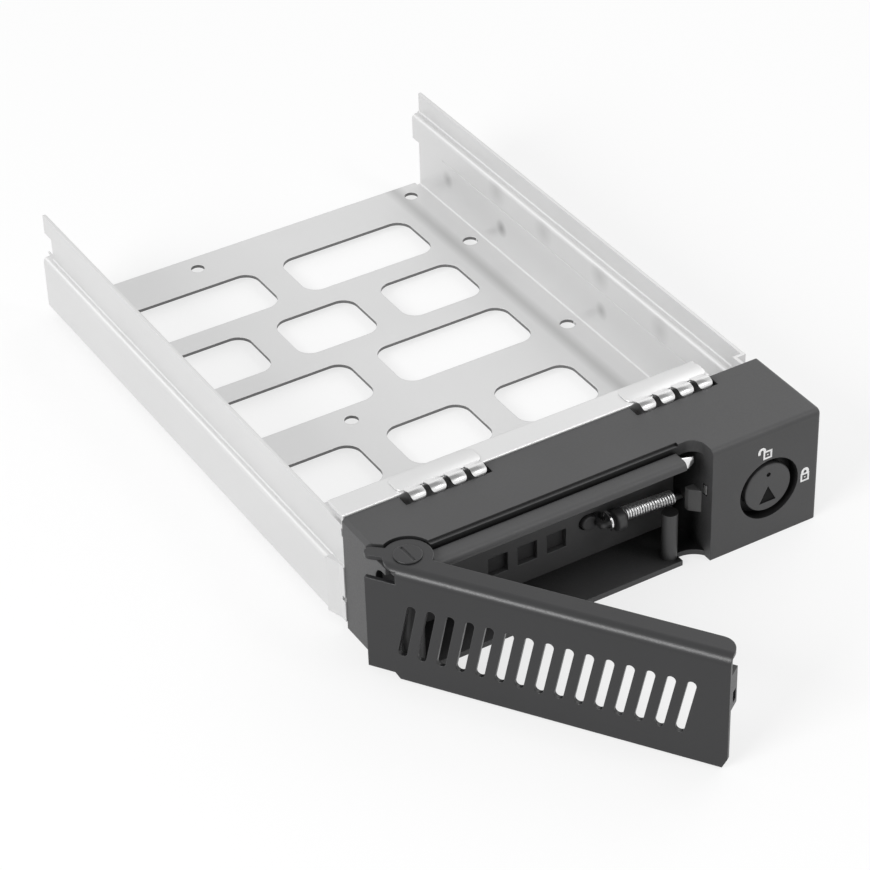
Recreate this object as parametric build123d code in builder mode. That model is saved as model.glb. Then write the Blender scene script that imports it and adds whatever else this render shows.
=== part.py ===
from build123d import *
import os
from math import atan2, cos, degrees, hypot, radians, sin

os.makedirs("parts", exist_ok=True)

# Hot-swap tray for one 3.5-inch or 2.5-inch drive, with its front bezel and swing lever.
# Millimetres. X runs along the front from the pivot side to the lock side, Y to the rear, Z up.
# The origin is the centre of the four 3.5-inch drive holes, on the underside of the tray floor.

# Standard drive patterns
drive_width = 101.6
drive_length = 147.0
hole_pitch_x = 95.25
hole_pitch_y = 44.45
first_hole_to_connector = 41.28
small_pitch_x = 61.72
small_pitch_y = 76.6
small_left_x = -15.5
small_front_y = -27.8
screw_hole_r = 1.9
small_hole_r = 1.7

# Tray sheet
sheet = 0.8
bend_r = 0.4
drive_side_gap = 0.1
wall_top = 25.0
floor_rear = 53.9
wall_rear = 56.3
left_inner = -(drive_width / 2 + drive_side_gap)
right_inner = drive_width / 2 + 0.6
left_rail_step = 1.8
left_rail_top = 14.5
right_rail_step = 2.3
right_rail_z = 19.8
window_corner_r = 4.0
window_width_x = 21.7
window_gap_x = 7.4
window_length_y = 16.6
window_centre_x = -1.3
window_rows_y = [32.0, 8.8, -14.4, -43.5]
window_row_count = [2, 3, 2, 3]

# Bezel body
bezel_left = -52.0
bezel_right = 53.8
bezel_deep = 23.1
bezel_bottom = -1.9
bezel_top = 27.5
side_wall = 1.6
top_wall = 1.5
bottom_wall = 1.3
lock_block_left = 25.4
cavity_behind = 8.8
back_wall = 1.3
back_sheet = 1.2
front_fillet = 1.4

# Lever and its pivot
pivot_x = -46.6
pivot_behind = 5.5
open_angle = 55.5
lever_sheet = 1.0
lever_gap = 0.3
lever_left = -7.4
lever_end_gap = 0.5
lever_bottom = -1.5
lever_drop = 0.3
lever_bend_r = 2.2
ear_r = 5.3
arm_reach = 9.15
arm_r = 1.5
arm_angle = 192.6
slot_count = 15
slot_pitch = 4.33
slot_first = 1.8
slot_length = 14.0
slot_width = 2.0
slot_centre_z = 11.8
slot_lean = 11.2
rivet_head_r = 3.1
rivet_r = 1.75
running_gap = 0.05
post_r = 2.9
ledge_right = 19.6
recess_corner_r = 3.6
strip_wide = 0.8
strip_deep = 0.6

# Lock dial, crank and latch
dial_x = 40.6
dial_z = 11.5
well_r = 7.7
dial_r = 6.0
dial_recess = 0.4
dial_thick = 1.6
well_deep = 3.2
stem_r = 2.0
latch_travel = 1.8
latch_behind = 2.2
latch_gap = 0.3
tongue_thick = 1.0
tongue_low = 14.6
tongue_high = 16.8
nose_low = 9.0
nose_high = 14.6
nose_out = 2.1
nose_behind = 3.7
nose_long = 2.1

# Anchor and tension spring in front of the cavity's back plate
spring_ahead = 2.9
spring_left = 10.4
spring_left_z = 10.0
spring_right = 23.2
spring_right_z = 8.6
spring_r = 1.35
spring_wire_r = 0.25
spring_turns = 14
bush_x = 8.9
bush_z = 9.0
bush_r = 2.5
bush_thick = 2.2
ring_x = 6.3
ring_z = 9.7
ring_r = 1.9
stud_x = 3.0
stud_z = 9.0
stud_r = 1.8

# Grounding clips on the front flange
clip_sheet = 0.3
finger_pitch = 4.95
finger_width = 3.9
finger_count = 4
finger_r = 1.75
clip_starts = {"clip_left": -37.3, "clip_right": 20.6}
pocket_margin = 1.2

# Places worked out from the sizes above
left_outer = left_inner - sheet
right_outer = right_inner + sheet
left_rail_outer = left_outer - left_rail_step
left_front_outer = left_outer - 0.6
right_rail_inner = right_inner + right_rail_step
right_rail_outer = right_rail_inner + sheet
drive_front = hole_pitch_y / 2 + first_hole_to_connector - drive_length
bezel_rear = drive_front - 6.0
bezel_front = bezel_rear - bezel_deep
cavity_back = bezel_rear - cavity_behind
pivot_y = bezel_front + pivot_behind
latch_front = bezel_front + latch_behind
nose_front = bezel_front + nose_behind
nose_rear = nose_front + nose_long
spring_y = cavity_back - spring_ahead
rail_front = drive_front - 0.5
front_wall_rear = bezel_rear + sheet
flange_top = bezel_top + 0.5
flange_rear = drive_front + 0.3
lever_top = bezel_top - lever_drop
recess_floor = lever_top - lever_sheet - lever_gap
lever_right = lock_block_left - lever_end_gap - pivot_x
plate_front = bezel_front - pivot_y
plate_rear = plate_front + lever_sheet
flange_back = 0.4
groove_y = pivot_y + flange_back + 0.4
dial_front = bezel_front + dial_recess
dial_back = dial_front + dial_thick
well_floor = bezel_front + well_deep
well_wall = 1.4
well_back = well_floor + well_wall
boss_r = well_r + 1.2
crank_front = well_back + 0.3
crank_thick = 1.4
crank_r = 3.4
crank_rear = crank_front + crank_thick
stem_end = crank_rear
pin_orbit = 3.4
pin_r = 1.0
post_top = recess_floor


def box_between(low, high, mode=Mode.ADD):
    """A box given by two opposite corners, added to or cut from the open part."""
    size = [b - a for a, b in zip(low, high)]
    middle = [(a + b) / 2 for a, b in zip(low, high)]
    with Locations(tuple(middle)):
        Box(*size, mode=mode)


def corners(sketch, places):
    """The corners of a sketch that lie nearest to the given places."""
    return [sketch.vertices().sort_by_distance((x, y, 0))[0] for x, y in places]


def finish(builder, label):
    """Name the finished piece and write it to its own file."""
    builder.part.label = label
    export_step(builder.part, f"parts/{label}.step")


# Tray pan: one folded sheet with floor, two walls, rails, front wall and top flange
with BuildPart() as tray_pan:
    with BuildSketch(Plane.XZ.offset(-wall_rear)) as section:
        with BuildLine():
            Polyline(
                (left_outer, wall_top), (left_outer, left_rail_top),
                (left_rail_outer, left_rail_top), (left_rail_outer, 0), (right_outer, 0),
                (right_outer, right_rail_z - sheet), (right_rail_outer, right_rail_z - sheet),
                (right_rail_outer, wall_top), (right_rail_inner, wall_top),
                (right_rail_inner, right_rail_z), (right_inner, right_rail_z),
                (right_inner, sheet), (left_rail_outer + sheet, sheet),
                (left_rail_outer + sheet, left_rail_top - sheet),
                (left_inner, left_rail_top - sheet), (left_inner, wall_top), close=True)
        make_face()
        outside = [(left_rail_outer, left_rail_top), (left_rail_outer, 0), (right_outer, 0),
                   (right_rail_outer, right_rail_z - sheet), (left_inner, left_rail_top - sheet),
                   (right_inner, right_rail_z)]
        fillet(corners(section, outside), bend_r + sheet)
        inside = [(left_outer, left_rail_top), (right_outer, right_rail_z - sheet),
                  (right_rail_inner, right_rail_z), (right_inner, sheet),
                  (left_rail_outer + sheet, sheet), (left_rail_outer + sheet, left_rail_top - sheet)]
        fillet(corners(section, inside), bend_r)
    extrude(amount=rail_front - wall_rear, dir=(0, 1, 0))

    # Closed front end of the lock-side rail
    box_between((right_inner, rail_front, right_rail_z - sheet),
                (right_rail_outer, rail_front + sheet, wall_top))

    # Front stretch of the walls and floor: the pivot-side step runs out towards the bezel
    with BuildSketch(Plane.XZ.offset(-rail_front)):
        with BuildLine():
            Polyline((left_front_outer + sheet, sheet), (left_front_outer + sheet, 0),
                     (right_outer, 0), (right_outer, wall_top), (right_inner, wall_top),
                     (right_inner, sheet), close=True)
        make_face()
    extrude(amount=bezel_rear - rail_front, dir=(0, 1, 0))
    run_out = bezel_rear + 1.7
    band_outer = ((left_rail_outer, rail_front), (left_front_outer, run_out),
                  (left_front_outer, bezel_rear))
    with BuildSketch():
        with BuildLine():
            Polyline(*band_outer, (left_front_outer + sheet, bezel_rear),
                     (left_front_outer + sheet, run_out), (left_rail_outer + sheet, rail_front),
                     close=True)
        make_face()
    extrude(amount=left_rail_top)
    with BuildSketch():
        with BuildLine():
            Polyline(*band_outer, (left_inner, bezel_rear), (left_inner, rail_front), close=True)
        make_face()
    extrude(amount=sheet)
    with BuildSketch(Plane.XY.offset(left_rail_top - sheet)):
        with BuildLine():
            Polyline(*band_outer, (left_inner, bezel_rear), (left_inner, rail_front), close=True)
        make_face()
    extrude(amount=sheet)
    box_between((left_outer, bezel_rear, left_rail_top - sheet), (left_inner, rail_front, wall_top))

    # Front wall, and the flange folded back from its top between the two side walls
    flange_left_x = left_outer
    flange_right_x = 40.6
    box_between((left_front_outer, bezel_rear, 0), (right_outer, front_wall_rear, left_rail_top))
    box_between((left_outer, bezel_rear, 0), (right_outer, front_wall_rear, wall_top))
    box_between((flange_left_x, bezel_rear, 0), (flange_right_x, front_wall_rear, flange_top))
    box_between((flange_left_x, bezel_rear, flange_top - sheet),
                (flange_right_x, flange_rear, flange_top))
    flange_edges = tray_pan.edges().filter_by(Axis.X).filter_by(
        lambda e: abs(e.center().Y - bezel_rear) < 0.01 and abs(e.center().Z - flange_top) < 0.01)
    fillet(flange_edges, bend_r)

    # Rear ends: guide tabs at the top of the walls, the rest cut back
    tab_low = 20.0
    left_notch_rear = 52.6
    left_rail_rear = 54.5
    right_mid_rear = 55.9
    right_low_rear = 52.8
    right_mid_low = 12.9
    beyond = wall_rear + 1
    box_between((left_rail_outer + sheet + bend_r, floor_rear, -1),
                (right_inner - bend_r, beyond, sheet + 1), mode=Mode.SUBTRACT)
    box_between((left_rail_outer - 1, left_rail_rear, -1),
                (left_inner - sheet / 2, beyond, left_rail_top + 0.1), mode=Mode.SUBTRACT)
    box_between((left_rail_outer - 1, left_notch_rear, left_rail_top),
                (left_inner + 1, beyond, tab_low), mode=Mode.SUBTRACT)
    box_between((right_inner - 1, right_mid_rear, right_mid_low),
                (right_rail_inner - 0.5, beyond, right_rail_z + 0.5), mode=Mode.SUBTRACT)
    box_between((right_inner - 1, right_low_rear, -1),
                (right_outer + 1, beyond, right_mid_low), mode=Mode.SUBTRACT)

    # Drive screw holes and weight-saving windows in the floor
    with GridLocations(hole_pitch_x, hole_pitch_y, 2, 2):
        Cylinder(screw_hole_r, 4 * sheet, mode=Mode.SUBTRACT)
    small_rear_y = small_front_y + small_pitch_y
    small_right_x = small_left_x + small_pitch_x
    with Locations((small_left_x, small_front_y, 0), (small_left_x, small_rear_y, 0),
                   (small_right_x, small_rear_y, 0)):
        Cylinder(small_hole_r, 4 * sheet, mode=Mode.SUBTRACT)
    field = 3 * window_width_x + 2 * window_gap_x
    for row_y, count in zip(window_rows_y, window_row_count):
        wide = (field - (count - 1) * window_gap_x) / count
        with BuildSketch(Plane.XY.offset(-sheet)):
            with Locations((window_centre_x, row_y)):
                with GridLocations(wide + window_gap_x, 0, count, 1):
                    RectangleRounded(wide, window_length_y, window_corner_r)
        extrude(amount=3 * sheet, mode=Mode.SUBTRACT)

    # Scored line along the inside of the lock-side wall
    score_z = 13.3
    score_front = rail_front + 17
    score_rear = wall_rear - 15
    box_between((right_inner - 0.1, score_front, score_z - 0.15),
                (right_inner + 0.12, score_rear, score_z + 0.15), mode=Mode.SUBTRACT)

    # Relief notches at the pivot-side front corner
    notch_front = bezel_rear - 0.1
    notch_places = ((22.0, 24.2), (5.2, 6.4))
    for low_z, high_z in notch_places:
        box_between((left_rail_outer - 0.1, notch_front, low_z),
                    (left_inner + 0.1, front_wall_rear + 0.3, high_z), mode=Mode.SUBTRACT)

    # Clearance holes for the bezel screws in the front wall
    bezel_screw_places = [(-43.0, 5.5), (-43.0, 20.5), (12.0, 5.5), (12.0, 20.5)]
    bezel_screw_r = 1.4
    for place_x, place_z in bezel_screw_places:
        with Locations(Location((place_x, bezel_rear, place_z), (90, 0, 0))):
            Cylinder(bezel_screw_r + 0.1, 4 * sheet, mode=Mode.SUBTRACT)
finish(tray_pan, "tray_pan")


# Bezel: moulded body with the lever cavity on the left and the lock block on the right
with BuildPart() as bezel:
    box_between((bezel_left, bezel_front, bezel_bottom), (bezel_right, bezel_rear, bezel_top))
    top_front = bezel.edges().filter_by(Axis.X).group_by(Axis.Y)[0].group_by(Axis.Z)[-1]
    fillet(top_front, front_fillet)
    right_edges = bezel.edges().filter_by(Axis.Z).group_by(Axis.X)[-1].group_by(Axis.Y)[0]
    fillet(right_edges, 0.9)
    left_top = bezel.edges().filter_by(Axis.Y).group_by(Axis.Z)[-1].group_by(Axis.X)[0]
    chamfer(left_top, 0.8)

    # Front of the lever zone stands back to let the lever close flush
    zone_front = bezel_front + lever_sheet + lever_gap
    box_between((bezel_left - 1, bezel_front - 1, bezel_bottom - 1),
                (lock_block_left, zone_front, bezel_top + 1), mode=Mode.SUBTRACT)

    # Recess that takes the lever's flange, its ear and the sweep of its cam arm
    box_between((bezel_left - 1, bezel_front - 1, recess_floor),
                (lock_block_left, groove_y, bezel_top + 1), mode=Mode.SUBTRACT)
    ear_clear = 0.7
    open_arm = arm_angle - open_angle - 5
    with BuildSketch(Plane.XY.offset(recess_floor)):
        with Locations((pivot_x, pivot_y)):
            Circle(ear_r + ear_clear)
    extrude(amount=bezel_top, mode=Mode.SUBTRACT)
    sweep_r = arm_reach + ear_clear
    with BuildSketch(Plane.XY.offset(recess_floor)):
        with BuildLine():
            Polyline((pivot_x, pivot_y),
                     (pivot_x + sweep_r * cos(radians(open_arm)),
                      pivot_y + sweep_r * sin(radians(open_arm))),
                     (pivot_x - 2 * sweep_r, pivot_y + sweep_r * sin(radians(open_arm))),
                     (pivot_x - 2 * sweep_r, pivot_y - sweep_r), close=True)
        make_face()
    extrude(amount=bezel_top, mode=Mode.SUBTRACT)
    with BuildSketch(Plane.XY.offset(recess_floor)):
        with Locations(Location((pivot_x + arm_reach / 2 * cos(radians(arm_angle - open_angle)),
                                 pivot_y + arm_reach / 2 * sin(radians(arm_angle - open_angle)), 0),
                                arm_angle - open_angle)):
            SlotCenterToCenter(arm_reach - arm_r, 2 * (arm_r + ear_clear))
    extrude(amount=bezel_top, mode=Mode.SUBTRACT)
    groove_deep = 0.6
    box_between((pivot_x + ear_r, groove_y - 0.7, recess_floor - groove_deep),
                (ledge_right, groove_y, bezel_top), mode=Mode.SUBTRACT)
    box_between((pivot_x + ear_r, groove_y - 0.1, bezel_top - strip_deep),
                (ledge_right + 1, groove_y + strip_wide, bezel_top + 1), mode=Mode.SUBTRACT)

    # Lever cavity: deep pocket under the ledge, with a thicker rounded front lip
    lip_deep = 2.2
    lip_back = zone_front + 2.0
    cavity_left = bezel_left + side_wall
    cavity_floor = bezel_bottom + bottom_wall
    box_between((cavity_left, lip_back, cavity_floor),
                (lock_block_left, cavity_back + back_sheet, recess_floor - 1.4), mode=Mode.SUBTRACT)
    box_between((cavity_left, zone_front - 1, cavity_floor),
                (lock_block_left, lip_back, recess_floor - lip_deep), mode=Mode.SUBTRACT)

    # Open slot between the ledge's end and the lock block, with a round rear corner
    box_between((ledge_right, bezel_front - 1, cavity_floor),
                (lock_block_left, groove_y, bezel_top + 1), mode=Mode.SUBTRACT)
    slot_corner = bezel.edges().filter_by(Axis.Z).filter_by(
        lambda e: abs(e.center().X - lock_block_left) < 0.01 and abs(e.center().Y - groove_y) < 0.01)
    fillet(slot_corner, recess_corner_r - 0.6)

    # Bottom plate front edge, finger notch beside the block, clearance for the lever's heel
    bottom_front = bezel_front + 1.9
    lip_end = 19.5
    box_between((bezel_left - 1, bezel_front - 1, bezel_bottom - 1),
                (lip_end, bottom_front, cavity_floor), mode=Mode.SUBTRACT)
    notch_r = 6.0
    with BuildSketch(Plane.XY.offset(bezel_bottom - 1)):
        with Locations((lip_end + 1.0, bezel_front - 1.3)):
            Circle(notch_r)
        with Locations(((lip_end + lock_block_left) / 2, bezel_front)):
            Rectangle(lock_block_left - lip_end, 2 * notch_r, mode=Mode.INTERSECT)
    extrude(amount=bottom_wall + 1, mode=Mode.SUBTRACT)
    heel_x = pivot_x - 1.7
    box_between((bezel_left - 1, bezel_front - 1, bezel_bottom - 1),
                (heel_x, pivot_y - 0.4, cavity_floor), mode=Mode.SUBTRACT)

    # The pivot-side wall ends behind the lever's swing, under a thin strip at the top
    swing_back = pivot_y + 4.1
    swing_top = recess_floor - 1.6
    with BuildSketch(Plane.YZ.offset(bezel_left - 1)) as swing:
        with Locations(((zone_front - 1 + swing_back) / 2, (swing_top + bezel_bottom - 1) / 2)):
            Rectangle(swing_back - zone_front + 1, swing_top - bezel_bottom + 1)
        fillet(corners(swing, [(swing_back, swing_top)]), 3.0)
    extrude(amount=side_wall + 1, mode=Mode.SUBTRACT)

    # Ledge corner cut along the open lever's plate
    open_x = cos(radians(open_angle))
    open_y = sin(radians(open_angle))
    reach = plate_rear + lever_gap
    cut_rear_s = -1.5
    cut_front_s = 4.5
    cut_rear = (pivot_x + cut_rear_s * open_x + reach * open_y,
                pivot_y - cut_rear_s * open_y + reach * open_x)
    cut_front = (pivot_x + cut_front_s * open_x + reach * open_y,
                 pivot_y - cut_front_s * open_y + reach * open_x)
    with BuildSketch(Plane.XY.offset(cavity_floor)):
        with BuildLine():
            Polyline((bezel_left - 1, cut_rear[1]), cut_rear, cut_front,
                     (bezel_left - 1, cut_front[1]), close=True)
        make_face()
    extrude(amount=bezel_top + 3, mode=Mode.SUBTRACT)

    # The corner left of the pivot is turned round, so the lever's plate swings past it
    with BuildSketch(Plane.XY.offset(cavity_floor)):
        with Locations((pivot_x - 10, pivot_y - 10)):
            Rectangle(20, 20)
        with Locations((pivot_x, pivot_y)):
            Circle(-reach, mode=Mode.SUBTRACT)
    extrude(amount=bezel_top + 3, mode=Mode.SUBTRACT)

    # Hollow behind the cavity and inside the lock block, open to the rear
    hollow_front = cavity_back + back_sheet + back_wall
    box_between((bezel_left + side_wall, hollow_front, cavity_floor),
                (bezel_right - side_wall, bezel_rear + 1, bezel_top - top_wall), mode=Mode.SUBTRACT)
    block_wall = 1.6
    block_inner = lock_block_left + block_wall
    box_between((block_inner, bezel_front + block_wall, cavity_floor),
                (bezel_right - side_wall, hollow_front + 1, bezel_top - top_wall),
                mode=Mode.SUBTRACT)

    # Dial well with its boss and the bore for the dial's stem
    with Locations(Location((dial_x, (bezel_front + 1 + well_back) / 2, dial_z), (90, 0, 0))):
        Cylinder(boss_r, well_back - bezel_front - 1)
    with Locations(Location((dial_x, (bezel_front - 1 + well_floor) / 2, dial_z), (90, 0, 0))):
        Cylinder(well_r, well_floor - bezel_front + 1, mode=Mode.SUBTRACT)
    with Locations(Location((dial_x, well_back, dial_z), (90, 0, 0))):
        Cylinder(stem_r + running_gap, 4 * well_wall, mode=Mode.SUBTRACT)

    # Window for the latch's tongue in the block's inner wall
    box_between((lock_block_left - 1, latch_front - latch_gap, tongue_low - latch_gap),
                (block_inner + 1, latch_front + tongue_thick + latch_gap, tongue_high + latch_gap),
                mode=Mode.SUBTRACT)

    # Pivot post and round pillar
    with Locations((pivot_x, pivot_y, (cavity_floor + post_top) / 2)):
        Cylinder(post_r, post_top - cavity_floor)
    pillar_x = 17.8
    pillar_y = bezel_front + 4.7
    pillar_r = 1.8
    pillar_top = 11.6
    with Locations((pillar_x, pillar_y, (cavity_floor + pillar_top) / 2)):
        Cylinder(pillar_r, pillar_top - cavity_floor)

    # Bores: pivot rivet, bezel screws and the pilot for the keyed stud
    rivet_deep = 13.0
    with Locations((pivot_x, pivot_y, post_top - rivet_deep / 2)):
        Cylinder(rivet_r + running_gap, rivet_deep + 0.5, mode=Mode.SUBTRACT)
    screw_boss_r = 2.8
    for place_x, place_z in bezel_screw_places:
        with Locations(Location((place_x, (hollow_front + bezel_rear) / 2, place_z), (90, 0, 0))):
            Cylinder(screw_boss_r, bezel_rear - hollow_front)
        with Locations(Location((place_x, bezel_rear, place_z), (90, 0, 0))):
            Cylinder(bezel_screw_r, 12, mode=Mode.SUBTRACT)

    # Pockets in the top for the fingers of the grounding clips
    pocket_front = bezel_rear - 2 * finger_r + 0.1
    for start in clip_starts.values():
        end = start + (finger_count - 1) * finger_pitch + finger_width
        box_between((start - pocket_margin, pocket_front, bezel_top - top_wall - 0.5),
                    (end + pocket_margin, bezel_rear + 1, bezel_top + 1), mode=Mode.SUBTRACT)

    # Rounded front edge of the ledge
    lip_rounds = ((recess_floor, 1.4, -1), (recess_floor - lip_deep, 0.7, 1))
    for edge_z, edge_r, up in lip_rounds:
        with BuildSketch(Plane.YZ.offset(pivot_x)):
            with Locations((zone_front + (edge_r - 1) / 2, edge_z + up * (edge_r - 1) / 2)):
                Rectangle(edge_r + 1, edge_r + 1)
            with Locations((zone_front + edge_r, edge_z + up * edge_r)):
                Circle(edge_r, mode=Mode.SUBTRACT)
        extrude(amount=ledge_right - pivot_x, mode=Mode.SUBTRACT)
finish(bezel, "bezel")


# Lever: one folded sheet with slots, an ear on the pivot and a cam arm that hooks the cage
lever_plane = Plane(origin=(pivot_x, pivot_y, 0), z_dir=(0, 0, 1),
                    x_dir=(cos(radians(-open_angle)), sin(radians(-open_angle)), 0))
lever_front_plane = Plane(origin=lever_plane.from_local_coords((0, plate_front, 0)),
                          x_dir=lever_plane.x_dir, z_dir=-lever_plane.y_dir)
bend_plane = Plane(origin=lever_plane.from_local_coords((lever_left - 1, 0, 0)),
                   x_dir=lever_plane.y_dir, z_dir=lever_plane.x_dir)
flange_left = -0.5
shoulder_z = 23.4
heel_z = -0.1
heel_end = -1.3
with BuildPart() as lever:
    with BuildSketch(lever_front_plane) as plate_face:
        with BuildLine():
            Polyline((lever_left, heel_z), (heel_end, heel_z), (heel_end + 1.2, lever_bottom),
                     (lever_right - 1.1, lever_bottom),
                     (lever_right, lever_bottom + 2.4), (lever_right, lever_top),
                     (flange_left, lever_top), (flange_left, shoulder_z),
                     (lever_left, shoulder_z), close=True)
        make_face()
    extrude(amount=-lever_sheet)
    with BuildSketch(lever_plane.offset(lever_top - lever_sheet)) as flange_face:
        with Locations(((flange_left + lever_right) / 2, (plate_front + flange_back) / 2)):
            Rectangle(lever_right - flange_left, flange_back - plate_front)
        fillet(corners(flange_face, [(lever_right, flange_back)]), recess_corner_r)
    extrude(amount=lever_sheet)
    with BuildSketch(lever_plane.offset(lever_top - lever_sheet)):
        Circle(ear_r)
    extrude(amount=lever_sheet)
    arm_mid = arm_reach - arm_r
    with BuildSketch(lever_plane.offset(lever_top - lever_sheet)):
        with Locations(Location((arm_mid / 2 * cos(radians(arm_angle)),
                                 arm_mid / 2 * sin(radians(arm_angle))), arm_angle)):
            SlotCenterToCenter(arm_mid, 2 * arm_r)
    extrude(amount=lever_sheet)
    with BuildSketch(bend_plane):
        with Locations((plate_front + lever_bend_r / 2 - 0.5, lever_top - lever_bend_r / 2 + 0.5)):
            Rectangle(lever_bend_r + 1, lever_bend_r + 1)
        with Locations((plate_front + lever_bend_r, lever_top - lever_bend_r)):
            Circle(lever_bend_r, mode=Mode.SUBTRACT)
    extrude(amount=lever_right - lever_left + 2, mode=Mode.SUBTRACT)
    with BuildSketch(lever_plane.offset(lever_top - 2 * lever_sheet)):
        Circle(rivet_r + running_gap)
    extrude(amount=3 * lever_sheet, mode=Mode.SUBTRACT)
    for index in range(slot_count):
        with BuildSketch(lever_front_plane):
            with Locations(Location((slot_first + index * slot_pitch, slot_centre_z), 90 - slot_lean)):
                SlotOverall(slot_length, slot_width)
        extrude(amount=3 * lever_sheet, both=True, mode=Mode.SUBTRACT)
    tab_deep = 3.2
    tab_bottom = 13.0
    tab_top = 22.2
    with BuildSketch(lever_plane.offset(tab_bottom)):
        with Locations((lever_right - lever_sheet / 2, plate_rear + tab_deep / 2)):
            Rectangle(lever_sheet, tab_deep)
    extrude(amount=tab_top - tab_bottom)
    tongue_front = latch_front
    slot_near = tongue_front - latch_gap - pivot_y
    slot_far = tongue_front + tongue_thick + latch_gap - pivot_y
    with BuildSketch(lever_plane.offset(tongue_low - latch_gap)):
        with Locations((lever_right, (slot_near + slot_far) / 2)):
            Rectangle(4 * lever_sheet, slot_far - slot_near)
    extrude(amount=tongue_high - tongue_low + 2 * latch_gap, mode=Mode.SUBTRACT)
finish(lever, "lever")


# Pivot rivet with a slotted flat head, fixed in the bezel's post
with BuildPart() as lever_rivet:
    head_thick = 0.35
    head_low = lever_top + 0.02
    with Locations((pivot_x, pivot_y, head_low + head_thick / 2)):
        Cylinder(rivet_head_r, head_thick)
    rim = lever_rivet.edges().filter_by(GeomType.CIRCLE).group_by(Axis.Z)[-1]
    fillet(rim, 0.15)
    shank_low = post_top - rivet_deep + 0.3
    with Locations((pivot_x, pivot_y, (shank_low + head_low) / 2)):
        Cylinder(rivet_r, head_low - shank_low)
    slot_turn = -88.0
    with Locations(Location((pivot_x, pivot_y, head_low + head_thick), (0, 0, slot_turn))):
        Box(2 * rivet_head_r - 0.9, 0.7, 0.5, mode=Mode.SUBTRACT)
finish(lever_rivet, "lever_rivet")


# Lock dial: raised disc with a sunk pointer and pip, on its stem
with BuildPart() as lock_dial:
    with Locations(Location((dial_x, (dial_front + dial_back) / 2, dial_z), (90, 0, 0))):
        Cylinder(dial_r, dial_thick)
    dial_rim = lock_dial.edges().filter_by(GeomType.CIRCLE).group_by(Axis.Y)[0]
    fillet(dial_rim, 0.3)
    with Locations(Location((dial_x, (dial_back + stem_end) / 2, dial_z), (90, 0, 0))):
        Cylinder(stem_r, stem_end - dial_back)
    pointer_wide = 4.4
    pointer_high = 4.2
    pointer_low = dial_z - 3.9
    with BuildSketch(Plane.XZ.offset(-dial_front)):
        with BuildLine():
            Polyline((dial_x - pointer_wide / 2, pointer_low), (dial_x + pointer_wide / 2, pointer_low),
                     (dial_x, pointer_low + pointer_high), close=True)
        make_face()
        with Locations((dial_x, dial_z + 3.4)):
            Circle(0.55)
    extrude(amount=-0.4, mode=Mode.SUBTRACT)
finish(lock_dial, "lock_dial")


# Crank fixed on the stem, with the pin that moves the latch
with BuildPart() as dial_crank:
    with BuildSketch(Plane.XZ.offset(-crank_front)):
        with Locations(Location((dial_x, dial_z - pin_orbit / 2), 90)):
            SlotCenterToCenter(pin_orbit, 2 * crank_r)
        with Locations((dial_x, dial_z)):
            Circle(stem_r, mode=Mode.SUBTRACT)
    extrude(amount=-crank_thick)
    pin_length = 2.6
    with BuildSketch(Plane.XZ.offset(-crank_rear)):
        with Locations((dial_x, dial_z - pin_orbit)):
            Circle(pin_r)
    extrude(amount=-pin_length)
finish(dial_crank, "dial_crank")


# Guide nose on the block's inner wall, with a slanted face towards the lever
with BuildPart() as guide_nose:
    with BuildSketch(Plane.XY.offset(nose_low)):
        with BuildLine():
            Polyline((lock_block_left, nose_front), (lock_block_left, nose_rear + 1.2),
                     (lock_block_left - nose_out, nose_rear + 1.2),
                     (lock_block_left - nose_out, nose_rear), close=True)
        make_face()
    extrude(amount=nose_high - nose_low)
finish(guide_nose, "guide_nose")


# Latch slide: tongue in the wall, arm behind the well, slotted plate over the crank's pin
with BuildPart() as latch_slide:
    arm_left = block_inner + latch_travel + 0.4
    arm_right = arm_left + 1.6
    plate_front_y = crank_rear + 0.5
    plate_back_y = plate_front_y + 1.4
    pin_play = 0.45
    slot_half = pin_r + pin_orbit - latch_travel + pin_play
    box_between((lock_block_left, latch_front, tongue_low),
                (arm_right, latch_front + tongue_thick, tongue_high))
    box_between((arm_left, latch_front, tongue_low - 4), (arm_right, plate_back_y, tongue_high))
    box_between((arm_left, plate_front_y, dial_z - 8.0),
                (dial_x + slot_half + 1.3, plate_back_y, tongue_high))
    with BuildSketch(Plane.XZ.offset(-plate_front_y + 1)):
        with Locations((dial_x, dial_z - pin_orbit / 2)):
            Rectangle(2 * slot_half, pin_orbit + 2 * pin_r + 2)
    extrude(amount=-4, mode=Mode.SUBTRACT)
finish(latch_slide, "latch_slide")


# Back plate of the cavity, with three square holes and a slot for the anchor stud
with BuildPart() as back_plate:
    plate_top = recess_floor - 1.4
    plate_side_gap = 0.05
    box_between((cavity_left, cavity_back, cavity_floor),
                (lock_block_left, cavity_back + back_sheet, plate_top))
    square = 4.9
    square_pitch = 7.4
    square_z = 7.1
    with BuildSketch(Plane.XZ.offset(-cavity_back + 1)):
        with Locations((-12.4, square_z)):
            with GridLocations(square_pitch, 0, 3, 1):
                Rectangle(square, square)
        with Locations((stud_x + 0.7, stud_z)):
            SlotOverall(2 * stud_r + 2.4, 2 * stud_r + 0.3)
    extrude(amount=-back_sheet - 2, mode=Mode.SUBTRACT)
finish(back_plate, "back_plate")


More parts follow.
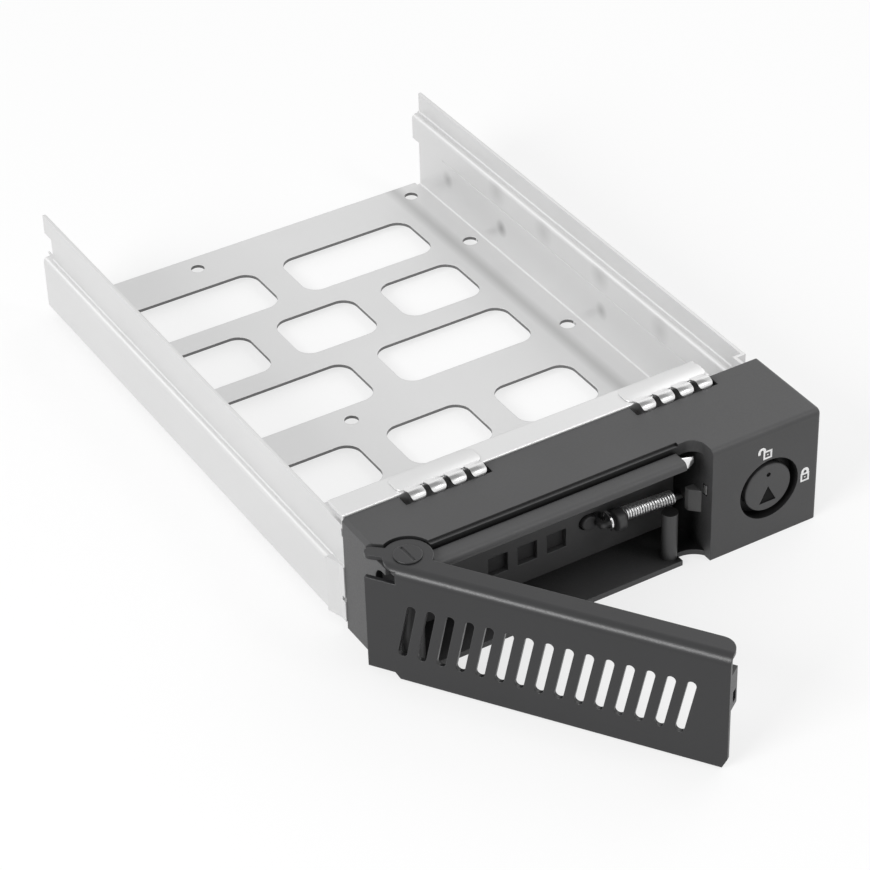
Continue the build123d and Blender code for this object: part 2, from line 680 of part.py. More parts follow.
# Anchor stud in the slot, with the bent pin that carries ring, bushing and spring
with BuildPart() as anchor_stud:
    stud_front = cavity_back - 0.9
    stud_back = cavity_back + back_sheet
    with Locations(Location((stud_x, (stud_front + stud_back) / 2, stud_z), (90, 0, 0))):
        Cylinder(stud_r, stud_back - stud_front)
    stud_nose = anchor_stud.edges().filter_by(GeomType.CIRCLE).group_by(Axis.Y)[0]
    fillet(stud_nose, 0.3)
    anchor_pin_r = 0.8
    leg_x = stud_x + stud_r + 0.1
    pin_end = bush_x + bush_thick / 2
    with Locations(Location((leg_x, (spring_y + stud_back) / 2, stud_z), (90, 0, 0))):
        Cylinder(anchor_pin_r, stud_back - spring_y)
    with Locations((leg_x, spring_y, stud_z)):
        Sphere(anchor_pin_r)
    with Locations(Location(((leg_x + pin_end) / 2, spring_y, stud_z), (0, 90, 0))):
        Cylinder(anchor_pin_r, pin_end - leg_x)
finish(anchor_stud, "anchor_stud")


# Bushing pressed on the end of the pin
with BuildPart() as anchor_bushing:
    with Locations(Location((bush_x, spring_y, bush_z), (0, 90, 0))):
        Cylinder(bush_r, bush_thick)
        Cylinder(0.8, 2 * bush_thick, mode=Mode.SUBTRACT)
    bush_rims = anchor_bushing.edges().filter_by(GeomType.CIRCLE).filter_by(
        lambda e: e.radius > bush_r - 0.1)
    fillet(bush_rims, 0.4)
finish(anchor_bushing, "anchor_bushing")


# Wire ring on the pin between the stud and the bushing
with BuildPart() as anchor_ring:
    ring_wire = 0.35
    ring_lift = ring_r - ring_wire - 0.8
    with Locations(Location((ring_x, spring_y, stud_z + ring_lift), (0, 90, 0))):
        Torus(ring_r, ring_wire)
finish(anchor_ring, "anchor_ring")


# Tension spring: close coils from the bushing to a peg on the block's inner wall
with BuildPart() as tension_spring:
    spring_run = hypot(spring_right - spring_left, spring_right_z - spring_left_z)
    spring_tilt = degrees(atan2(spring_left_z - spring_right_z, spring_right - spring_left))
    spring_middle = ((spring_left + spring_right) / 2, spring_y, (spring_left_z + spring_right_z) / 2)
    pitch = spring_run / spring_turns
    with Locations(Location(spring_middle, (0, 90 + spring_tilt, 0))):
        Cylinder(spring_r - spring_wire_r, spring_run)
        with GridLocations(1, 1, 1, 1):
            for turn in range(spring_turns):
                with Locations((0, 0, (turn + 0.5) * pitch - spring_run / 2)):
                    Cylinder(spring_r + spring_wire_r, 2 * spring_wire_r)
finish(tension_spring, "tension_spring")


# Peg that takes the spring's far end
with BuildPart() as spring_peg:
    peg_start = spring_right + 0.4
    with Locations(Location(((peg_start + lock_block_left) / 2, spring_y, spring_right_z), (0, 90, 0))):
        Cylinder(0.7, lock_block_left - peg_start)
finish(spring_peg, "spring_peg")


# Grounding clips: a strip on the flange with four curled fingers in the bezel's pocket
def arc_place(radius, turn):
    """A place on a finger's curl, as Y and Z, at a turn from the rear."""
    return (arc_y + radius * cos(radians(turn)), arc_z + radius * sin(radians(turn)))


for clip_name, start in clip_starts.items():
    with BuildPart() as clip:
        end = start + (finger_count - 1) * finger_pitch + finger_width
        base_low = flange_top + 0.01
        base_front = bezel_rear + 0.3
        base_rear = flange_rear - 0.5
        with BuildSketch(Plane.XY.offset(base_low)):
            with Locations(((start + end) / 2, (base_front + base_rear) / 2)):
                RectangleRounded(end - start + 2.4, base_rear - base_front, 2.0)
        extrude(amount=clip_sheet)
        arc_y = bezel_rear - finger_r + 0.4
        arc_z = base_low - 0.7
        inner_r = finger_r - clip_sheet
        for index in range(finger_count):
            left = start + index * finger_pitch
            with BuildSketch(Plane.YZ.offset(left)):
                with BuildLine():
                    Polyline(arc_place(finger_r, 36), (base_front + 0.6, base_low + clip_sheet),
                             (base_front + 0.6, base_low), arc_place(inner_r, 30))
                    ThreePointArc(arc_place(inner_r, 30), arc_place(inner_r, 115),
                                  arc_place(inner_r, 200))
                    Line(arc_place(inner_r, 200), arc_place(finger_r, 200))
                    ThreePointArc(arc_place(finger_r, 200), arc_place(finger_r, 115),
                                  arc_place(finger_r, 36))
                make_face()
            extrude(amount=finger_width)
    finish(clip, clip_name)


# Screws that hold the bezel to the tray's front wall
with BuildPart() as bezel_screws:
    for place_x, place_z in bezel_screw_places:
        with Locations(Location((place_x, front_wall_rear + 0.8, place_z), (90, 0, 0))):
            Cylinder(2.6, 1.6)
        with Locations(Location((place_x, front_wall_rear - 3.2, place_z), (90, 0, 0))):
            Cylinder(bezel_screw_r - 0.02, 6.4)
finish(bezel_screws, "bezel_screws")
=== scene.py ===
import bpy, math
from mathutils import Matrix, Vector


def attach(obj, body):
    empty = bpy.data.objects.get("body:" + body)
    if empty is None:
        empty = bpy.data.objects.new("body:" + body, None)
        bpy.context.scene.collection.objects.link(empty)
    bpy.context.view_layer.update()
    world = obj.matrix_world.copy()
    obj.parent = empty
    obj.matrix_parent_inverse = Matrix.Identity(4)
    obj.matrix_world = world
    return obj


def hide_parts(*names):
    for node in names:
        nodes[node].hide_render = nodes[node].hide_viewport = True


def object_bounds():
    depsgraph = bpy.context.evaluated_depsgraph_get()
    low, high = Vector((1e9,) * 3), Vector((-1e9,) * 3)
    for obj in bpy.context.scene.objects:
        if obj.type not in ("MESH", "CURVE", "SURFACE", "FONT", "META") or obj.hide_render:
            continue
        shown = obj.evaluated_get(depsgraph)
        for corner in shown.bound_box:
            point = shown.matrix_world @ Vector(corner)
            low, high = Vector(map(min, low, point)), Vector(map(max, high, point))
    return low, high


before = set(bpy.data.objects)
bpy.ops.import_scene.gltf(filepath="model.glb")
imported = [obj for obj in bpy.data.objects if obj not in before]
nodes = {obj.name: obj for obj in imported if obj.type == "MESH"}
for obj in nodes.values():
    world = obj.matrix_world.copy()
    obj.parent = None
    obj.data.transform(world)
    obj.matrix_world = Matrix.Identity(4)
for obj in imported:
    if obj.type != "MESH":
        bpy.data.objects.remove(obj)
cad_box = [list(corner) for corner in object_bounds()]
bpy.ops.object.select_all(action="DESELECT")

# Sizes and places of pieces are in millimetres, and MM turns them into Blender's metres. What lies within
# NEAR of a place is picked with it
MM = 0.001
NEAR = 0.05


def box_of(name):
    """The low and the high corner of a CAD node's box, to a thousandth of a millimetre."""
    columns = list(zip(*nodes[name].bound_box))
    return [[round(outermost(column) / MM, 3) for column in columns] for outermost in (min, max)]


# Places read from the frame
bezel_low, bezel_high = box_of("bezel")
BEZEL_FRONT, BEZEL_REAR = bezel_low[1], bezel_high[1]
FLANGE_TOP = box_of("tray_pan")[1][2]
STRIP_REAR = box_of("clip_left")[1][1]
DIAL_FRONT = box_of("lock_dial")[0][1]
peg_low, peg_high = box_of("spring_peg")
SPRING_Y = (peg_low[1] + peg_high[1]) / 2

# Tray sheet: its thickness, half of the floor's width that holds the windows and holes, and a span in x
# that takes in the right wall's inner face
SHEET = 0.8
FLOOR_HALF = 49.5
INNER_FACE = (49.5, 51.7)

# Painted dark reflection as a band along the floor, and darker spots on the right wall. A spot's numbers are
# its place along and up, its reach and its depth of tone, and its core is a share of its reach
BAND_X, BAND_CORE, BAND_REACH, BAND_DEPTH = 43.8, 0.3, 2.7, 0.45
SPOT_CORE = 0.1
WALL_SPOTS = ((38.8, 8.9, 2.6, 0.5), (13.4, 7.8, 2.6, 0.75), (-31.1, 8.1, 2.6, 0.5), (15.5, 17.3, 4.2, 0.28),
              (-5.7, 16.9, 4.2, 0.28), (-30.3, 17.3, 4.2, 0.32), (-55.2, 16.2, 4.2, 0.28))

# Grounding clips: fingers that ramp up from a strip on the flange and curl over the bezel's rear edge.
# The curl's angles are in degrees, from the rear over the top, and a band of painted shade lies before its
# crown
CLIP_STARTS = {"clip_left": -37.0, "clip_right": 20.9}
CLIP_SHEET = 0.3
STRIP_FRONT, STRIP_Z = BEZEL_REAR + 0.3, FLANGE_TOP + 0.16
STRIP_MARGIN, STRIP_CORNER_R = 1.2, 1.9
FINGERS, FINGER_PITCH, FINGER_WIDE, TIP_R = 4, 4.95, 3.65, 1.3
FOOT_Y, FOOT_Z, FOOT_LONG = BEZEL_REAR + 0.9, FLANGE_TOP + 0.13, 0.6
CURL_R, CURL_START, CURL_SWEEP, CURL_STEPS = 1.95, 62.0, 102.0, 20
CURL_Y, CURL_Z = BEZEL_REAR - 1.5, FLANGE_TOP - 1.06
CROWN_Y, CROWN_CORE, CROWN_REACH = BEZEL_REAR - 2.15, 0.3, 0.75

# Tension spring: the ends of its axis as (x, z), and its coils
SPRING_LEFT, SPRING_RIGHT = (10.4, 10.0), (23.2, 9.2)
SPRING_TURNS, COIL_POINTS, COIL_R, WIRE_R = 19, 12, 1.42, 0.28

# Screws on the rear face of the tray's front wall
SCREW_X, SCREW_Z = (-43.0, 12.0), (5.5, 20.5)
HEAD_SEAT, HEAD_GAP = BEZEL_REAR + SHEET, 0.01
HEAD_R, HEAD_HIGH, RIM_WIDE, RIM_DROP = 2.6, 1.5, 0.25, 0.7
CROSS_LONG, CROSS_WIDE, CROSS_DEEP = 2.6, 0.55, 0.75

# Lock dial's sunk triangle and pip, and the black fill in them
DIAL_X, DIAL_Z = 40.6, 11.5
FILL_Y, FILL_THICK = DIAL_FRONT + 0.3, 0.16
POINTER_LOW, POINTER_WIDE, POINTER_HIGH = DIAL_Z - 3.9, 4.4, 4.2
PIP_Z, PIP_R = DIAL_Z + 3.4, 0.4

# Printed padlocks: their middles as (x, z), the body's half width and half height, the pens for the lines
# and the keyhole dot, the shackle's round top and its place on each padlock, and how flat the ink lies
SIGN_Y = BEZEL_FRONT - 0.02
SHUT_SIGN, OPEN_SIGN = (50.2, 10.65), (39.8, 20.9)
LOCK_HALF_WIDE, LOCK_HALF_HIGH, PEN_R, DOT_PEN_R, DOT_HALF = 0.92, 0.88, 0.33, 0.22, 0.12
SHACKLE_R, SHACKLE_STEPS, SHUT_RISE = 0.7, 8, 0.62
OPEN_RISE, OPEN_SWING, OPEN_FOOT, FREE_LEG = 0.35, 0.6, 0.1, 0.3
INK_PRESS = 0.12

# Bright steel tab at the ledge's right end, its outline as (x, z)
TAB_OUTLINE = ((19.5, 22.7), (21.5, 22.7), (22.8, 23.7), (22.7, 25.2), (19.5, 25.9))
TAB_Y, TAB_THICK = BEZEL_FRONT + 3.5, 0.6


# Shader nodes

def feed(tree, socket, value):
    """Link a socket to an input, or set the input to a constant."""
    if isinstance(value, bpy.types.NodeSocket):
        tree.links.new(value, socket)
    else:
        socket.default_value = value


def math_node(tree, kind, *values, clamp=False):
    """A Math node on constants or sockets."""
    node = tree.nodes.new("ShaderNodeMath")
    node.operation = kind
    node.use_clamp = clamp
    for socket, value in zip(node.inputs, values):
        feed(tree, socket, value)
    return node.outputs[0]


def vector_node(tree, kind, a, b):
    """A Vector Math node on two constants or sockets."""
    node = tree.nodes.new("ShaderNodeVectorMath")
    node.operation = kind
    feed(tree, node.inputs[0], a)
    feed(tree, node.inputs[1], b)
    return node.outputs


def axes(tree, vector):
    """The X, Y and Z of a vector."""
    node = tree.nodes.new("ShaderNodeSeparateXYZ")
    tree.links.new(vector, node.inputs[0])
    return node.outputs


def mix_colour(tree, factor, a, b):
    """A colour mix of two colours or sockets."""
    node = tree.nodes.new("ShaderNodeMix")
    node.data_type = "RGBA"
    for index, value in ((0, factor), (6, a), (7, b)):
        feed(tree, node.inputs[index], value)
    return node.outputs[2]


def noise(tree, vector, scale, detail):
    """A noise texture on the given coordinates."""
    node = tree.nodes.new("ShaderNodeTexNoise")
    feed(tree, node.inputs["Scale"], scale)
    node.inputs["Detail"].default_value = detail
    tree.links.new(vector, node.inputs["Vector"])
    return node.outputs["Fac"]


def ranged(tree, value, low, high, to_low=0.0, to_high=1.0):
    """A value mapped from one range to another."""
    node = tree.nodes.new("ShaderNodeMapRange")
    limits = {"From Min": low, "From Max": high, "To Min": to_low, "To Max": to_high}
    for socket, limit in limits.items():
        node.inputs[socket].default_value = limit
    tree.links.new(value, node.inputs["Value"])
    return node.outputs["Result"]


# Shader groups

def group(name, inputs, outputs):
    """An empty shader group with the given named sockets."""
    tree = bpy.data.node_groups.new(name, "ShaderNodeTree")
    for socket, kind, value in inputs:
        made = tree.interface.new_socket(name=socket, in_out="INPUT", socket_type=kind)
        if value is not None:
            made.default_value = value
    for socket, kind in outputs:
        tree.interface.new_socket(name=socket, in_out="OUTPUT", socket_type=kind)
    return tree, tree.nodes.new("NodeGroupInput").outputs, tree.nodes.new("NodeGroupOutput").inputs


def make_edge_wear():
    """Mask of the outer edges, broken up by noise, and a normal that rounds them."""
    tree, enter, leave = group(
        "edge_wear",
        [("Vector", "NodeSocketVector", None), ("Width", "NodeSocketFloat", 0.4 * MM),
         ("Amount", "NodeSocketFloat", 0.5)],
        [("Mask", "NodeSocketFloat"), ("Normal", "NodeSocketVector")])
    bevel = tree.nodes.new("ShaderNodeBevel")
    bevel.samples = 6
    tree.links.new(enter["Width"], bevel.inputs["Radius"])
    geometry = tree.nodes.new("ShaderNodeNewGeometry")
    alike = vector_node(tree, "DOT_PRODUCT", bevel.outputs[0], geometry.outputs["Normal"])["Value"]
    on_a_face, over_an_edge = 0.99, 0.86
    edge = ranged(tree, alike, on_a_face, over_an_edge)
    least_rub = 0.2
    rub = ranged(tree, noise(tree, enter["Vector"], scale=420.0, detail=3.0), 0.35, 0.7, least_rub)
    mask = math_node(tree, "MULTIPLY", edge, rub)
    mask = math_node(tree, "MULTIPLY", mask, enter["Amount"], clamp=True)
    tree.links.new(mask, leave["Mask"])
    tree.links.new(bevel.outputs[0], leave["Normal"])
    return tree


def make_fine_grain():
    """Fine moulded or painted grain: a height and a soft large-scale tint."""
    tree, enter, leave = group(
        "fine_grain",
        [("Vector", "NodeSocketVector", None), ("Size", "NodeSocketFloat", 3500.0)],
        [("Height", "NodeSocketFloat"), ("Tint", "NodeSocketFloat")])
    tree.links.new(noise(tree, enter["Vector"], scale=enter["Size"], detail=2.0), leave["Height"])
    tree.links.new(noise(tree, enter["Vector"], scale=45.0, detail=3.0), leave["Tint"])
    return tree


def make_streaks():
    """Rolled sheet: streaks along one direction and soft clouds."""
    tree, enter, leave = group(
        "rolled_streaks",
        [("Vector", "NodeSocketVector", None), ("Stretch", "NodeSocketVector", (900.0, 25.0, 900.0))],
        [("Streak", "NodeSocketFloat"), ("Cloud", "NodeSocketFloat")])
    stretched = vector_node(tree, "MULTIPLY", enter["Vector"], enter["Stretch"])[0]
    tree.links.new(noise(tree, stretched, scale=1.0, detail=3.0), leave["Streak"])
    tree.links.new(noise(tree, enter["Vector"], scale=30.0, detail=2.0), leave["Cloud"])
    return tree


def make_floor_edge():
    """Mask of the cut edges in the tray's floor: upright faces within the sheet's thickness."""
    tree, enter, leave = group(
        "floor_edge",
        [("Vector", "NodeSocketVector", None), ("Top", "NodeSocketFloat", (SHEET - 0.02) * MM)],
        [("Mask", "NodeSocketFloat")])
    place = axes(tree, enter["Vector"])
    facing = axes(tree, tree.nodes.new("ShaderNodeNewGeometry").outputs["True Normal"])
    upright_under = 0.3
    upright = math_node(tree, "LESS_THAN", math_node(tree, "ABSOLUTE", facing["Z"]), upright_under)
    low = math_node(tree, "LESS_THAN", place["Z"], enter["Top"])
    inside = math_node(tree, "LESS_THAN", math_node(tree, "ABSOLUTE", place["X"]), FLOOR_HALF * MM)
    both = math_node(tree, "MULTIPLY", upright, low)
    tree.links.new(math_node(tree, "MULTIPLY", both, inside), leave["Mask"])
    return tree


def make_recess():
    """Mask of painted shade in recesses: 1 where little of the surroundings can be seen."""
    tree, enter, leave = group(
        "recess_shade",
        [("Reach", "NodeSocketFloat", 20 * MM)],
        [("Mask", "NodeSocketFloat")])
    near = tree.nodes.new("ShaderNodeAmbientOcclusion")
    near.samples = 8
    near.only_local = True
    tree.links.new(enter["Reach"], near.inputs["Distance"])
    open_share, deep_share = 0.84, 0.45
    tree.links.new(ranged(tree, near.outputs["AO"], open_share, deep_share), leave["Mask"])
    return tree


def make_crown_shade():
    """Mask of the painted shade band just in front of a spring finger's crown."""
    tree, enter, leave = group(
        "crown_shade",
        [("Vector", "NodeSocketVector", None), ("Middle", "NodeSocketFloat", 0.0)],
        [("Mask", "NodeSocketFloat")])
    off = math_node(tree, "SUBTRACT", axes(tree, enter["Vector"])["Y"], enter["Middle"])
    away = math_node(tree, "ABSOLUTE", off)
    tree.links.new(ranged(tree, away, CROWN_REACH * MM, CROWN_CORE * MM), leave["Mask"])
    return tree


def make_reflection_band_and_spots():
    """Mask of the painted dark reflection band along the floor and the darker spots on the right wall's inner
    face.
    """
    tree, enter, leave = group(
        "reflection_band_and_spots",
        [("Vector", "NodeSocketVector", None)],
        [("Mask", "NodeSocketFloat")])
    place = axes(tree, enter["Vector"])
    off = math_node(tree, "ABSOLUTE", math_node(tree, "SUBTRACT", place["X"], BAND_X * MM))
    band = ranged(tree, off, BAND_REACH * MM, BAND_CORE * MM, 0.0, BAND_DEPTH)
    on_floor = math_node(tree, "LESS_THAN", place["Z"], (SHEET + 0.2) * MM)
    total = math_node(tree, "MULTIPLY", band, on_floor)
    beyond = math_node(tree, "GREATER_THAN", place["X"], INNER_FACE[0] * MM)
    within = math_node(tree, "LESS_THAN", place["X"], INNER_FACE[1] * MM)
    on_wall = math_node(tree, "MULTIPLY", beyond, within)
    flat = vector_node(tree, "MULTIPLY", enter["Vector"], (0.0, 1.0, 1.0))[0]
    for y, z, reach, depth in WALL_SPOTS:
        away = vector_node(tree, "DISTANCE", flat, (0.0, y * MM, z * MM))["Value"]
        spot = ranged(tree, away, reach * MM, SPOT_CORE * reach * MM, 0.0, depth)
        total = math_node(tree, "MAXIMUM", total, math_node(tree, "MULTIPLY", spot, on_wall))
    tree.links.new(total, leave["Mask"])
    return tree


EDGE_WEAR = make_edge_wear()
FINE_GRAIN = make_fine_grain()
STREAKS = make_streaks()
FLOOR_EDGE = make_floor_edge()
RECESS = make_recess()
CROWN_SHADE = make_crown_shade()
REFLECTION_BAND_AND_SPOTS = make_reflection_band_and_spots()


# Finishes. Most values of a noise lie between the two below

NOISE_LOW, NOISE_HIGH = 0.3, 0.7


def grey(level, blue=0.0):
    """A neutral colour, with a trace of blue where given."""
    return (level, level, level + blue, 1.0)


def scaled(colour, factor):
    """The colour made darker or brighter, up to white."""
    return tuple(min(1.0, c * factor) for c in colour[:3]) + (1.0,)


def new_material(name):
    """A fresh node material with its shader and object coordinates."""
    material = bpy.data.materials.new(name)
    material.use_nodes = True
    tree = material.node_tree
    coordinates = tree.nodes.new("ShaderNodeTexCoord")
    return material, tree, tree.nodes["Principled BSDF"].inputs, coordinates.outputs["Object"]


def placed(tree, shared, **values):
    """The outputs of a shared group placed in a material with its own values."""
    node = tree.nodes.new("ShaderNodeGroup")
    node.node_tree = shared
    for socket, value in values.items():
        feed(tree, node.inputs[socket], value)
    return node.outputs


def clouded(tree, cloud, base, darkest, low=NOISE_LOW, high=NOISE_HIGH):
    """The base colour, which soft clouds darken down to the given share."""
    return mix_colour(tree, ranged(tree, cloud, low, high), scaled(base, darkest), base)


def roughened(tree, shader, pattern, smoothest, roughest):
    """Roughness that a pattern moves between two values."""
    rough = ranged(tree, pattern, NOISE_LOW, NOISE_HIGH, smoothest, roughest)
    tree.links.new(rough, shader["Roughness"])


def bumped(tree, shader, height, strength, distance, normal):
    """Bump from a height, over a given normal, into the shader's normal."""
    bump = tree.nodes.new("ShaderNodeBump")
    bump.inputs["Strength"].default_value = strength
    bump.inputs["Distance"].default_value = distance
    tree.links.new(height, bump.inputs["Height"])
    tree.links.new(normal, bump.inputs["Normal"])
    tree.links.new(bump.outputs[0], shader["Normal"])


def charcoal(name, base, worn, rough, edge=0.35 * MM, grain=2600.0, relief=0.25, painted_shade=0.0, shine=0.4):
    """Matt charcoal moulding or paint with paler rubbed edges, and painted shade with less shine in its
    recesses.
    """
    material, tree, shader, place = new_material(name)
    wearing = placed(tree, EDGE_WEAR, Vector=place, Width=edge, Amount=0.35)
    texture = placed(tree, FINE_GRAIN, Vector=place, Size=grain)
    body = clouded(tree, texture["Tint"], base, 0.9)
    colour = mix_colour(tree, wearing["Mask"], body, worn)
    # Painted shade: the moulding darkens towards near black in its recesses and loses its shine there
    if painted_shade:
        amount = math_node(tree, "MULTIPLY", placed(tree, RECESS)["Mask"], painted_shade)
        colour = mix_colour(tree, amount, colour, grey(0.004))
        tree.links.new(ranged(tree, amount, 0.0, 1.0, shine, 0.0), shader["Specular IOR Level"])
    else:
        shader["Specular IOR Level"].default_value = shine
    tree.links.new(colour, shader["Base Color"])
    roughened(tree, shader, texture["Height"], rough - 0.05, rough + 0.05)
    bumped(tree, shader, texture["Height"], relief, 0.05 * MM, wearing["Normal"])
    return material


def sheet_metal(name, base, rough, streak=0.05, metal=1.0, cut=None):
    """Satin sheet with faint rolling streaks and soft clouds. Where a tone for cut edges is given, the
    sheet is the tray's, with those edges in its floor, its painted dark reflection band and its darker wall
    spots."""
    material, tree, shader, place = new_material(name)
    wearing = placed(tree, EDGE_WEAR, Vector=place, Width=0.25 * MM, Amount=0.6)
    texture = placed(tree, STREAKS, Vector=place)
    body = clouded(tree, texture["Cloud"], base, 0.965)
    colour = mix_colour(tree, wearing["Mask"], body, scaled(base, 1.12))
    if cut is not None:
        # Painted dark reflection as a band along the floor, and darker spots on the right wall's inner face
        colour = mix_colour(tree, placed(tree, REFLECTION_BAND_AND_SPOTS, Vector=place)["Mask"], colour, scaled(base, 0.45))
        colour = mix_colour(tree, placed(tree, FLOOR_EDGE, Vector=place)["Mask"], colour, cut)
    tree.links.new(colour, shader["Base Color"])
    shader["Metallic"].default_value = metal
    roughened(tree, shader, texture["Streak"], rough - streak, rough + streak)
    bumped(tree, shader, texture["Streak"], 0.06, 0.03 * MM, wearing["Normal"])
    return material


def bright_metal(name, base, rough, band=None):
    """Polished spring metal with faint drawing marks, and a painted shade band where the fingers bend."""
    material, tree, shader, place = new_material(name)
    texture = placed(tree, STREAKS, Vector=place, Stretch=(2200.0, 300.0, 300.0))
    colour = clouded(tree, texture["Cloud"], base, 0.93)
    # Painted shade: a darker band across each finger's curl, before its crown
    if band is not None:
        finger_shade = placed(tree, CROWN_SHADE, Vector=place, Middle=band)
        colour = mix_colour(tree, finger_shade["Mask"], colour, scaled(base, 0.36))
    tree.links.new(colour, shader["Base Color"])
    shader["Metallic"].default_value = 1.0
    roughened(tree, shader, texture["Streak"], rough, rough + 0.08)
    return material


def print_ink(name, base):
    """Printed ink, a little uneven in tone."""
    material, tree, shader, place = new_material(name)
    patchy = noise(tree, place, scale=2200.0, detail=2.0)
    tree.links.new(clouded(tree, patchy, base, 0.85, low=0.35, high=0.65), shader["Base Color"])
    shader["Roughness"].default_value = 0.7
    shader["Specular IOR Level"].default_value = 0.15
    return material


STEEL = sheet_metal("zinc_sheet", grey(0.665), 0.35, streak=0.012, metal=0.62, cut=grey(0.16))
# The bezel moulding gets painted shade in its recesses
MOULDING = charcoal("bezel_moulding", grey(0.054, 0.001), grey(0.15, 0.002), 0.44, painted_shade=0.9)
PLATE = charcoal("plate_moulding", grey(0.070, 0.001), grey(0.15, 0.002), 0.5)
PAINT = charcoal("lever_paint", grey(0.017, 0.001), grey(0.11, 0.002), 0.34, edge=0.3 * MM, grain=3200.0,
                 relief=0.12, shine=0.45)
FIXING = sheet_metal("plain_steel", grey(0.5), 0.32)
NOSE = charcoal("nose_moulding", grey(0.075), grey(0.16), 0.6)
CHROME = bright_metal("spring_bright", grey(0.86), 0.12)
WIRE = bright_metal("wire_bright", grey(0.92), 0.32)
FINGER = bright_metal("finger_bright", grey(0.80), 0.22, band=CROWN_Y * MM)
INK_WHITE = print_ink("white_ink", grey(0.9))
INK_BLACK = print_ink("black_ink", grey(0.004))

FINISHES = {
    "tray_pan": STEEL, "bezel": MOULDING, "bezel_screws": FIXING, "clip_left": CHROME,
    "clip_right": CHROME, "dial_crank": FIXING, "guide_nose": NOSE, "latch_slide": FIXING,
    "lever": PAINT, "lever_rivet": PAINT, "back_plate": PLATE, "lock_dial": MOULDING,
    "anchor_stud": MOULDING, "anchor_bushing": MOULDING, "anchor_ring": CHROME,
    "tension_spring": CHROME, "spring_peg": FIXING,
}
for name, finish in FINISHES.items():
    nodes[name].data.materials.clear()
    nodes[name].data.materials.append(finish)


# Modelling helpers

def pick(pieces):
    """Select only these pieces, with the first one active."""
    bpy.ops.object.select_all(action="DESELECT")
    for piece in pieces:
        piece.select_set(True)
    bpy.context.view_layer.objects.active = pieces[0]


def select_where(kind, test):
    """Go to edit mode with the vertices, edges or faces selected whose places pass the test."""
    bpy.ops.object.mode_set(mode="OBJECT")
    mesh = bpy.context.active_object.data
    for one in (*mesh.vertices, *mesh.edges, *mesh.polygons):
        one.select = False
    if kind == "VERT":
        for one in mesh.vertices:
            one.select = test(one.co / MM)
    elif kind == "EDGE":
        for one in mesh.edges:
            one.select = all(test(mesh.vertices[v].co / MM) for v in one.vertices)
    else:
        for one in mesh.polygons:
            one.select = test(one.center / MM, one.normal)
    bpy.ops.object.mode_set(mode="EDIT")
    bpy.ops.mesh.select_mode(type=kind)


def settle(piece, name, finish, body, smooth=40.0):
    """Name the piece, put its place in its mesh, smooth it and let it ride."""
    pick([piece])
    bpy.ops.object.transform_apply(location=True, rotation=True, scale=True)
    bpy.ops.object.shade_smooth_by_angle(angle=math.radians(smooth))
    piece.name = name
    piece.data.name = name
    piece.data.materials.clear()
    piece.data.materials.append(finish)
    piece.select_set(False)
    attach(piece, body)


def add_modifier(piece, kind, **values):
    """Add a modifier with the given values and apply it."""
    modifier = piece.modifiers.new(kind.lower(), kind)
    for key, value in values.items():
        setattr(modifier, key, value)
    pick([piece])
    bpy.ops.object.modifier_apply(modifier=modifier.name)


def thicken(piece, thickness):
    """Give a flat piece its thickness, half of it to each side."""
    add_modifier(piece, "SOLIDIFY", thickness=thickness * MM, offset=0.0)


def round_edges(piece, width, segments, sharper_than):
    """Round the edges that turn by more than so many degrees."""
    add_modifier(piece, "BEVEL", width=width * MM, segments=segments, limit_method="ANGLE",
                 angle_limit=math.radians(sharper_than))


def copied(piece, shift):
    """A copy of the piece with its own mesh, moved by so many millimetres."""
    pick([piece])
    bpy.ops.object.duplicate(linked=False)
    twin = bpy.context.active_object
    twin.location = Vector(twin.location) + Vector(shift) * MM
    bpy.ops.object.transform_apply(location=True)
    return twin


def joined(pieces):
    """The pieces made one."""
    pick(pieces)
    bpy.ops.object.join()
    return bpy.context.active_object


def flat_plate(left, right, front, rear, height):
    """A level rectangle between the given sides."""
    middle_x, middle_y = (left + right) / 2, (front + rear) / 2
    bpy.ops.mesh.primitive_plane_add(size=1.0, location=(middle_x * MM, middle_y * MM, height * MM))
    piece = bpy.context.active_object
    piece.scale = ((right - left) * MM, (rear - front) * MM, 1.0)
    bpy.ops.object.transform_apply(location=True, scale=True)
    return piece


def upright_plate(corners, y):
    """A flat upright piece with the given (x, z) corners, shaped from a disc of as many corners."""
    bpy.ops.mesh.primitive_circle_add(vertices=len(corners), radius=1 * MM, fill_type="NGON",
                                      rotation=(math.radians(90), 0, 0))
    piece = bpy.context.active_object
    bpy.ops.object.transform_apply(rotation=True)
    middle_x, middle_z = (sum(values) / len(corners) for values in zip(*corners))
    around = sorted(corners, key=lambda c: math.atan2(c[1] - middle_z, c[0] - middle_x))
    ring = sorted(piece.data.vertices, key=lambda v: math.atan2(v.co.z, v.co.x))
    for vertex, (x, z) in zip(ring, around):
        vertex.co = (x * MM, y * MM, z * MM)
    return piece


def upright_disc(x, y, z, radius, depth, sides):
    """A round piece that faces the front, around the given middle."""
    bpy.ops.mesh.primitive_cylinder_add(vertices=sides, radius=radius * MM, depth=depth * MM,
                                        location=(x * MM, y * MM, z * MM), rotation=(math.radians(90), 0, 0))
    bpy.ops.object.transform_apply(location=True, rotation=True)
    return bpy.context.active_object


